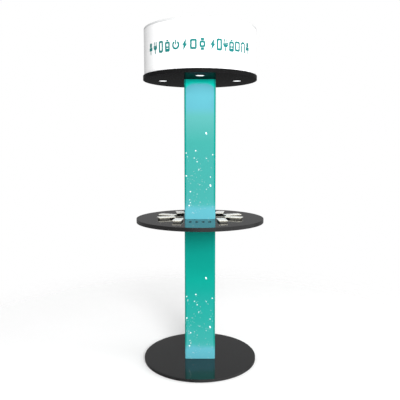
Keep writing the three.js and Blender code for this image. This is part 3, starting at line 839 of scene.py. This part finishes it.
hub_low, hub_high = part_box("usb_hub")
hub = box_mesh("hub_case", hub_low, hub_high, moulded_black)
outlet_x = [-0.042 + i * 0.012 for i in range(8)]
outlet_z = (hub_low.z + hub_high.z) / 2
outlets = [box_mesh("outlet", (x - 0.0022, hub_high.y - 0.008, outlet_z - 0.0062),
                    (x + 0.0022, hub_high.y + 0.001, outlet_z + 0.0062), moulded_black) for x in outlet_x]
cooling = [box_mesh("cooling", (-0.045, hub_high.y - 0.0015, hub_low.z + 0.012 + i * 0.005),
                    (0.045, hub_high.y + 0.001, hub_low.z + 0.0135 + i * 0.005), moulded_black)
           for i in range(5)]
cut_away(hub, *outlets, *cooling)
ease_edges(hub, 0.0008, 2, 50.0)
stand_for(hub, "kiosk", "black_plastic", "usb_hub")

jacket = grained("lead_jacket", (24, 24, 26), (36, 36, 38), (700.0, 2.0), 0.45, 0.0001, 0.15, IOR=1.45)


def inner_lead(name, radius, points):
    """A round lead that runs smoothly through the points, given in millimetres."""
    path = bpy.data.curves.new(name, "CURVE")
    path.dimensions = "3D"
    path.bevel_depth = radius
    path.bevel_resolution = 4
    path.resolution_u = 10
    path.use_fill_caps = True
    spline = path.splines.new("BEZIER")
    spline.bezier_points.add(len(points) - 1)
    for knot, point in zip(spline.bezier_points, points):
        knot.co = Vector(point) / 1000.0
        knot.handle_left_type = knot.handle_right_type = "AUTO"
    drawn = new_object(name, path)
    graph = bpy.context.evaluated_depsgraph_get()
    lead = new_piece(name, [], [], [], jacket)
    lead.data = bpy.data.meshes.new_from_object(drawn.evaluated_get(graph))
    lead.data.materials.append(jacket.material)
    bpy.data.objects.remove(drawn)
    stand_for(lead, "kiosk", "lead_jacket", name)


inner_lead("header_lead", 0.003, [
    (0, -20, 719.3), (0, -20, 760), (0, -12, 830), (0, 0, 900), (0, 0, 1100), (0, 0, 1400),
    (0, 0, 1700), (0, 2, 1835), (0, 25, 1862), (0, 60, 1866), (0, 89.7, 1866)])
inner_lead("mains_lead", 0.0035, [
    (0, 49.2, 85), (0, 38, 85), (8, 15, 92), (35, -8, 130), (61.5, -15, 220), (61.5, -15, 350),
    (61.5, -15, 480), (45, -20, 530), (30, -21, 548), (30, -21, 559.7)])

# ---- Counter ----
# The same laminated board, 24 mm thick. Wires run in grooves in its underside, under a star-shaped cover
# let in flush and screwed on. A strip of four raised charging sockets stands either side of the column.
_, counter_low, counter_high = round_size("counter_top")
pad_middles = []
for i in range(1, 9):
    low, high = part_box(f"charging_pad_{i}")
    pad_middles.append(((low.x + high.x) / 2, (low.y + high.y) / 2))
cover_half = 0.0075
cover_reach = 0.191
cover_hub_radius = 0.062
seat_top = counter_low + 0.003 + fit
past_face = 0.01
counter_tools = []
for side in ("front", "rear"):
    strip_low, strip_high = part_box("usb_strip_" + side)
    counter_tools.append(box_mesh(
        "pocket", (strip_low.x - fit, strip_low.y - fit, strip_low.z - fit),
        (strip_high.x + fit, strip_high.y + fit, counter_high + past_face), gloss_laminate))
arm_reaches = [(math.hypot(x, y) + 0.006, math.atan2(y, x)) for x, y in pad_middles if y > 0.0]
arm_reaches.append((cover_reach, math.pi / 2))
for reach, angle in arm_reaches:
    arm_seat = box_mesh("arm_seat", (-reach - fit, -cover_half - fit, counter_low - past_face),
                        (reach + fit, cover_half + fit, seat_top), gloss_laminate)
    counter_tools.append(put(arm_seat, Matrix.Rotation(angle, 4, "Z")))
hub_seat = solid_profile(cover_hub_radius + fit, seat_top, counter_low - past_face)
counter_tools.append(turned("hub_seat", hub_seat, gloss_laminate, 96))
board("counter_board", "counter_top", gloss_laminate, black_band, *counter_tools)

dress(moulded_black, "wire_cover")
cover_screws = [(share * x, share * y, counter_low) for x, y in pad_middles for share in (0.5, 0.95)]
screws("wire_cover_screws", cover_screws, (0, 0, -1), 0.0026, "kiosk")

strip_black = laminate("strip_black", 20, 25, 1.5)
socket_gold = Finish("contact_gold", Metallic=1.0)
socket_gold.set(Base_Color=socket_gold.mix(socket_gold.noise(800.0), ink(206, 168, 92), ink(226, 190, 120)))
socket_gold.set(Roughness=0.25 + socket_gold.noise(400.0) * 0.1)
socket_spacing = 0.040
socket_width = 0.013
socket_depth = 0.0058
liner_wall = 0.0005
for side in ("front", "rear"):
    strip_low, strip_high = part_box("usb_strip_" + side)
    row_y = (strip_low.y + strip_high.y) / 2
    sockets_x = [(i - 1.5) * socket_spacing for i in range(4)]
    strip = box_mesh("strip", strip_low, (strip_high.x, strip_high.y, counter_high), strip_black)
    ease_edges(strip, 0.0004, 2)
    apply_stack(strip)
    for x in sockets_x:
        collar = prism("collar", rounded_rectangle(0.016, 0.010, 0.0018, 4), counter_high - 0.002,
                       strip_high.z, strip_black)
        ease_edges(collar, 0.0006, 3)
        put(collar, (x, row_y, 0.0))
        join_on(strip, collar)
    cut_away(strip, *[
        box_mesh("socket", (x - socket_width / 2, row_y - socket_depth / 2, strip_high.z - 0.012),
                 (x + socket_width / 2, row_y + socket_depth / 2, strip_high.z + 0.001), strip_black)
        for x in sockets_x])
    modify(strip, "WEIGHTED_NORMAL", keep_sharp=True)
    strip.name = "socket_strip_" + side
    stand_for(strip, "kiosk", "black_plastic", "usb_strip_" + side)

    liners = []
    for x in sockets_x:
        liner = prism("liner", rounded_rectangle(socket_width - 0.0002, socket_depth - 0.0002, 0.0008, 3),
                      strip_high.z - 0.0119, strip_high.z - 0.0005, zinc)
        bore_x = socket_width / 2 - liner_wall
        bore_y = socket_depth / 2 - liner_wall
        bore = box_mesh("bore", (-bore_x, -bore_y, strip_high.z - 0.0114),
                        (bore_x, bore_y, strip_high.z), zinc)
        cut_away(liner, bore)
        liners.append(put(liner, (x, row_y, 0.0)))
    stand_for(merged("socket_liners_" + side, liners, zinc), "kiosk", "zinc_steel")
    tongues = []
    contacts = []
    for x in sockets_x:
        tongue = box_mesh("tongue", (x - 0.005, row_y + 0.0001, strip_high.z - 0.0113),
                          (x + 0.005, row_y + 0.0019, strip_high.z - 0.0022), moulded_black)
        ease_edges(tongue, 0.0003, 2)
        tongues.append(tongue)
        for i in range(4):
            contact_x = x + (i - 1.5) * 0.0025
            contact = box_mesh("contact", (contact_x - 0.0005, row_y - 0.0001, strip_high.z - 0.0110),
                               (contact_x + 0.0005, row_y + 0.0001, strip_high.z - 0.0030), socket_gold)
            contacts.append(contact)
    stand_for(merged("socket_tongues_" + side, tongues, moulded_black), "kiosk", "black_plastic")
    stand_for(merged("socket_contacts_" + side, contacts, socket_gold), "kiosk", "zinc_steel")

# ---- Charging pads ----
# Eight raised pads: a thin white slab whose side is painted warm grey as shade, on a narrower foot of grey
# rubber with a black block at its inner end as painted shade. A copper coil lies in a pocket under the
# slab.
pad_plastic = Finish("pad_plastic", IOR=1.46)
pad_tone = pad_plastic.noise(18.0, 3.0)
pad_height = pad_plastic.place.parts()[2]
# The slab's side, below its top face, is painted warm grey as shade.
pad_edge_painted_shade = pad_height.rise(0.9631, 0.9626)
pad_white = pad_plastic.mix(pad_tone, ink(250, 249, 246), ink(255, 255, 253))
pad_plastic.set(Base_Color=pad_plastic.mix(pad_edge_painted_shade, pad_white, ink(222, 219, 202)))
pad_plastic.set(Roughness=0.34 + pad_plastic.noise(60.0, 4.0).rise(0.4, 0.8) * 0.14)
pad_plastic.bump(pad_plastic.noise(1500.0, 2.0), 0.00003)
copper = Finish("copper_winding", Metallic=1.0)
winding = copper.node("ShaderNodeTexWave", {"Vector": copper.place, "Scale": 180.0, "Distortion": 1.0},
                      {"wave_type": "RINGS", "rings_direction": "Z"}, output=1)
copper.set(Base_Color=copper.mix(winding, ink(150, 84, 44), ink(206, 128, 76)))
copper.set(Roughness=0.3 + winding * 0.15)
copper.bump(winding, 0.0002)
dress(copper, *[f"charging_coil_{i}" for i in range(1, 9)])
slab_length = 0.113
slab_width = 0.055
slab_thick = 0.004
outer_lean = 22.3
inner_lean = 83.3
grey_rubber = grained("grey_rubber", (92, 91, 86), (106, 105, 99), (600.0, 3.0), 0.7, 0.0002, IOR=1.3)
for i, (x, y) in enumerate(pad_middles, start=1):
    lean = math.copysign(math.radians(outer_lean if i <= 4 else inner_lean), x * y)
    slab_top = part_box(f"charging_pad_{i}")[1].z
    place = Matrix.Translation((x, y, 0.0)) @ Matrix.Rotation(lean, 4, "Z")
    slab = prism(f"pad_slab_{i}", rounded_rectangle(slab_length, slab_width, 0.006),
                 slab_top - slab_thick, slab_top, pad_plastic)
    ease_edges(slab, 0.0009, 3)
    put(slab, place)
    stand_for(slab, "kiosk", "pad_white", f"charging_pad_{i}")
    inward = -1.0 if math.cos(lean) * x + math.sin(lean) * y > 0.0 else 1.0
    # The black block at each foot's inner end is a dark piece put where shade falls under the slab.
    blocks = (("foot", 0.069, -0.016, grey_rubber), ("painted_shade_block", 0.0317, 0.03465, rubber))
    for part, width, shift, finish in blocks:
        block = prism(f"pad_{part}_{i}", rounded_rectangle(width, 0.045, 0.004), counter_high + fit,
                      slab_top - slab_thick, finish)
        ease_edges(block, 0.0005, 2)
        put(block, (inward * shift, 0.0, 0.0), place)
        stand_for(block, "kiosk", "black_rubber")

# ---- Header board and lamps ----
# A matt laminated board carries the drum. Four recessed lamps stand in its underside, each a black
# housing with a satin opal lens.
matt_laminate = laminate("matt_laminate", 6, 8, 1.017)
header_band = edge_band("header_edge_band", 18, 1.12)
_, header_low, header_high = round_size("header_plate")
lamp_radius = 0.028
lamp_spots = []
for place in lamp_places:
    low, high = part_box("lamp_housing_" + place)
    lamp_spots.append(((low.x + high.x) / 2, (low.y + high.y) / 2))
lamp_holes = []
for x, y in lamp_spots:
    through = solid_profile(lamp_radius, header_high + past_face, header_low - past_face)
    hole = turned("lamp_hole", through, matt_laminate, 96)
    lamp_holes.append(put(hole, (x, y, 0.0)))
board("header_board", "header_plate", matt_laminate, header_band, *lamp_holes)

opal = Finish("opal_lens", Emission_Strength=0.8, Roughness=0.35)
frost = opal.noise(120.0, 3.0)
opal.set(Base_Color=opal.mix(frost, ink(244, 246, 248), ink(254, 254, 254)))
opal.set(Emission_Color=opal.mix(frost, (0.97, 0.985, 1.0, 1.0), (1.0, 1.0, 1.0, 1.0)))
lens_radius, lens_bottom, lens_top = round_size("lamp_lens_front")
_, bezel_low, housing_top = round_size("lamp_housing_front")
bezel_radius = lamp_radius + 0.003
bezel_top = header_low - fit
can_radius = lamp_radius - fit
mouth = can_radius - 0.0015
can_roof = housing_top - 0.002
for place, (x, y) in zip(lamp_places, lamp_spots):
    housing = turned("lamp_can_" + place, [
        (0.0, housing_top), (can_radius, housing_top), (can_radius, bezel_top), (bezel_radius, bezel_top),
        (bezel_radius, bezel_low + 0.0007), (bezel_radius - 0.0012, bezel_low), (mouth, bezel_low),
        (mouth, can_roof), (0.0, can_roof)], moulded_black, 96)
    ease_edges(housing, 0.0002, 2)
    put(housing, (x, y, 0.0))
    stand_for(housing, "kiosk", "black_plastic", "lamp_housing_" + place)
    dome = [(lens_radius * math.sin(a), lens_bottom + 0.0012 * (1.0 - math.cos(a)))
            for a in (math.pi / 2 * k / 6 for k in range(6, -1, -1))]
    lens_piece = turned("lamp_opal_" + place, [(0.0, lens_top), (lens_radius, lens_top), *dome], opal, 96)
    put(lens_piece, (x, y, 0.0))
    stand_for(lens_piece, "kiosk", "lamp_lens", "lamp_lens_" + place)

# ---- Drum and lid ----
# The drum wall is a white plastic sheet rolled to a ring, with its joint at the back. A painted board lid
# with eased edges closes it, held by six countersunk screws.
drum_sheet = Finish("drum_sheet", IOR=1.5)
drum_x, drum_y, _ = drum_sheet.place.parts()
drum_cloud = drum_sheet.noise(5.0, 3.0)
drum_tone = drum_sheet.mix(drum_cloud, ink(238, 238, 239), ink(245, 245, 245))
drum_joint = abs(drum_x).rise(0.0007, 0.0003) * (drum_y > 0.0)
drum_rub = drum_sheet.noise(70.0, 4.0, 0.7, (1.0, 1.0, 0.4)).rise(0.62, 0.8) * 0.2
drum_marks = drum_joint * 0.8 + drum_rub * 0.4
drum_sheet.set(Base_Color=drum_sheet.mix(drum_marks, drum_tone, ink(176, 178, 180)))
drum_sheet.set(Roughness=0.40 + drum_sheet.noise(30.0, 4.0) * 0.1)
drum_sheet.bump(drum_sheet.noise(500.0) * 0.3 + (1.0 - drum_joint) * 0.7, 0.0002)
drum_radius, drum_low, drum_high = round_size("header_drum")
drum_wall = 0.004
drum_bore = drum_radius - drum_wall
drum = turned("drum_wall", [(drum_bore, drum_high), (drum_radius, drum_high), (drum_radius, drum_low),
                            (drum_bore, drum_low), (drum_bore, drum_high)], drum_sheet)
ease_edges(drum, 0.0004, 2)
stand_for(drum, "kiosk", "drum_white", "header_drum")

lid_radius, lid_low, lid_high = round_size("header_lid")
lid_screw_circle = lid_radius - 0.012
screw_places = [(lid_screw_circle * math.cos(a), lid_screw_circle * math.sin(a), lid_high)
                for a in (math.radians(30.0 + 60.0 * k) for k in range(6))]
lid_paint = grained("lid_paint", (196, 197, 198), (208, 209, 209), (260.0, 2.0), 0.4, 0.0001, 0.15,
                    (9.0, 3.0), IOR=1.4)
lid = turned("drum_lid", solid_profile(lid_radius, lid_high, lid_low), lid_paint)
sinks = []
for x, y, z in screw_places:
    sink = turned("sink", [(0.0, z + 0.001), (0.0046, z + 0.001), (0.0042, z), (0.0022, z - 0.0024),
                           (0.0, z - 0.0024)], lid_paint, 32)
    sinks.append(put(sink, (x, y, 0.0)))
cut_away(lid, *sinks)
ease_edges(lid, rim_ease)
stand_for(lid, "kiosk", "drum_white", "header_lid")
screws("lid_screws", [(x, y, z - 0.0023) for x, y, z in screw_places], (0, 0, 1), 0.0037, "kiosk")

driver_white = grained("driver_white", (226, 227, 226), (240, 240, 238), (900.0, 2.0), 0.45, 0.00008, 0.12,
                       (20.0, 2.0), IOR=1.46)
driver_low, driver_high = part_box("led_driver")
driver = box_mesh("driver_case_shell", driver_low, driver_high, driver_white)
ease_edges(driver, 0.002, 3)
stand_for(driver, "kiosk", "driver_case", "led_driver")

# ---- Drum artwork ----
# Two rows of plain pictograms about charging, cut from teal vinyl and laid side by side on the front of the
# drum. Each is drawn flat in millimetres about its own middle, then both rows are bent round the wall.
vinyl = Finish("teal_vinyl", IOR=1.4)
vinyl_x = vinyl.place.parts()[0]
vinyl_grain = vinyl.noise(600.0, 2.0)
vinyl_tone = vinyl.mix(vinyl_x.rise(-0.30, 0.20), ink(6, 118, 114), ink(12, 112, 111))
vinyl.set(Base_Color=vinyl.mix(vinyl_grain * 0.2, vinyl_tone, ink(40, 130, 134)))
vinyl.set(Roughness=0.36 + vinyl_grain * 0.1)
vinyl.bump(vinyl_grain, 0.00004)
line = 10.0


def stroke(points, closed=False):
    """A line of even width through the points, as quads with mitred joints."""
    count = len(points)
    sides = []
    for i, (x, y) in enumerate(points):
        before = points[i - 1] if closed or i > 0 else None
        after = points[(i + 1) % count] if closed or i < count - 1 else None
        ways = []
        for start, end in ((before, (x, y)), ((x, y), after)):
            if start and end:
                length = math.hypot(end[0] - start[0], end[1] - start[1])
                ways.append(((end[0] - start[0]) / length, (end[1] - start[1]) / length))
        way = (sum(w[0] for w in ways), sum(w[1] for w in ways))
        length = math.hypot(*way)
        normal = (-way[1] / length, way[0] / length)
        reach = line / 2 / max(0.3, -ways[0][1] * normal[0] + ways[0][0] * normal[1])
        sides.append(((x + normal[0] * reach, y + normal[1] * reach),
                      (x - normal[0] * reach, y - normal[1] * reach)))
    if closed:
        sides.append(sides[0])
    return [[this[1], after[1], after[0], this[0]] for this, after in zip(sides, sides[1:])]


def box(x0, y0, x1, y1):
    return [[(x0, y0), (x1, y0), (x1, y1), (x0, y1)]]


def frame_line(width, height, corner, lift=0.0):
    outline = rounded_rectangle(width - line, height - line, corner, 4)
    return stroke([(x, y + lift) for x, y in outline], closed=True)


def arc(radius, start, end, lift=0.0, steps=22):
    angles = [math.radians(start + (end - start) * i / steps) for i in range(steps + 1)]
    return [(radius * math.cos(a), lift + radius * math.sin(a)) for a in angles]


phone = frame_line(32, 59, 4) + box(-5, -21, 5, -18)
tablet = frame_line(37, 50, 3) + box(-8, -17, 8, -14.5)
bolt = [[(-15, -3.5), (15, 3.5), (6, 3.5), (9, 29.5)], [(15, 3.5), (-15, -3.5), (-6, -3.5), (-9, -29.5)]]
battery = frame_line(32, 50, 3, -4.5) + box(-7, 22.5, 7, 29.5)
battery += box(-8.5, -21, 8.5, -14) + box(-8.5, -10, 8.5, -3)
plug = box(-10.5, 14, -4.5, 29.5) + box(4.5, 14, 10.5, 29.5) + box(-15.5, 6, 15.5, 12)
plug += [[(-15.5, 5), (-15.5, -2), (-7, -11), (7, -11), (15.5, -2), (15.5, 5)]] + box(-3.5, -29.5, 3.5, -12)
ring = stroke(arc(17.5, 122, 418)) + box(-3.5, 2, 3.5, 26)
cable = frame_line(22, 22, 1, 18.5) + box(-15.5, -10, 15.5, 6.5) + box(-3.5, -29.5, 3.5, -11)
watch = frame_line(32, 32, 4) + box(-9, 17, 9, 29.5) + box(-9, -29.5, 9, -17)
headphones = stroke(arc(15, 0, 180, 8)) + box(-18.5, -26, -8.5, 7) + box(8.5, -26, 18.5, 7)
rows = (([cable, plug, phone, battery, ring, bolt, tablet, watch], -356.0, 30.0),
        ([bolt, phone, plug, battery, tablet, headphones, cable], 57.0, 336.0))
row_height = 1982.5
widened = 1.03
heightened = 1.13
vinyl_lift = 0.00012
sheet = bmesh.new()
for row, start, end in rows:
    icons = [[[(x * widened, y * heightened) for x, y in outline] for outline in icon] for icon in row]
    widths = [[x for outline in icon for x, _ in outline] for icon in icons]
    spans = [(min(across), max(across)) for across in widths]
    space = (end - start - sum(right - left for left, right in spans)) / (len(icons) - 1)
    for icon, (left, right) in zip(icons, spans):
        for outline in icon:
            corners = [(start - left + x, 0.0, row_height + y) for x, y in outline]
            sheet.faces.new([sheet.verts.new(corner) for corner in corners])
        start += right - left + space
bmesh.ops.remove_doubles(sheet, verts=sheet.verts, dist=0.01)
bmesh.ops.recalc_face_normals(sheet, faces=sheet.faces)
for face in sheet.faces:
    face.normal_update()
    if face.normal.y > 0.0:
        face.normal_flip()
bend_step = 5
for x in range(-370, 371, bend_step):
    everything = list(sheet.verts) + list(sheet.edges) + list(sheet.faces)
    bmesh.ops.bisect_plane(sheet, geom=everything, plane_co=(x, 0.0, 0.0), plane_no=(1.0, 0.0, 0.0))
out = drum_radius + vinyl_lift
for vertex in sheet.verts:
    angle = vertex.co.x / 1000.0 / drum_radius
    vertex.co = (out * math.sin(angle), -out * math.cos(angle), vertex.co.z / 1000.0)
artwork = new_piece("drum_pictograms", [], [], [], vinyl)
sheet.to_mesh(artwork.data)
sheet.free()
modify(artwork, "SOLIDIFY", thickness=0.0003, offset=1.0)
apply_stack(artwork)
stand_for(artwork, "kiosk", "printed_skin")
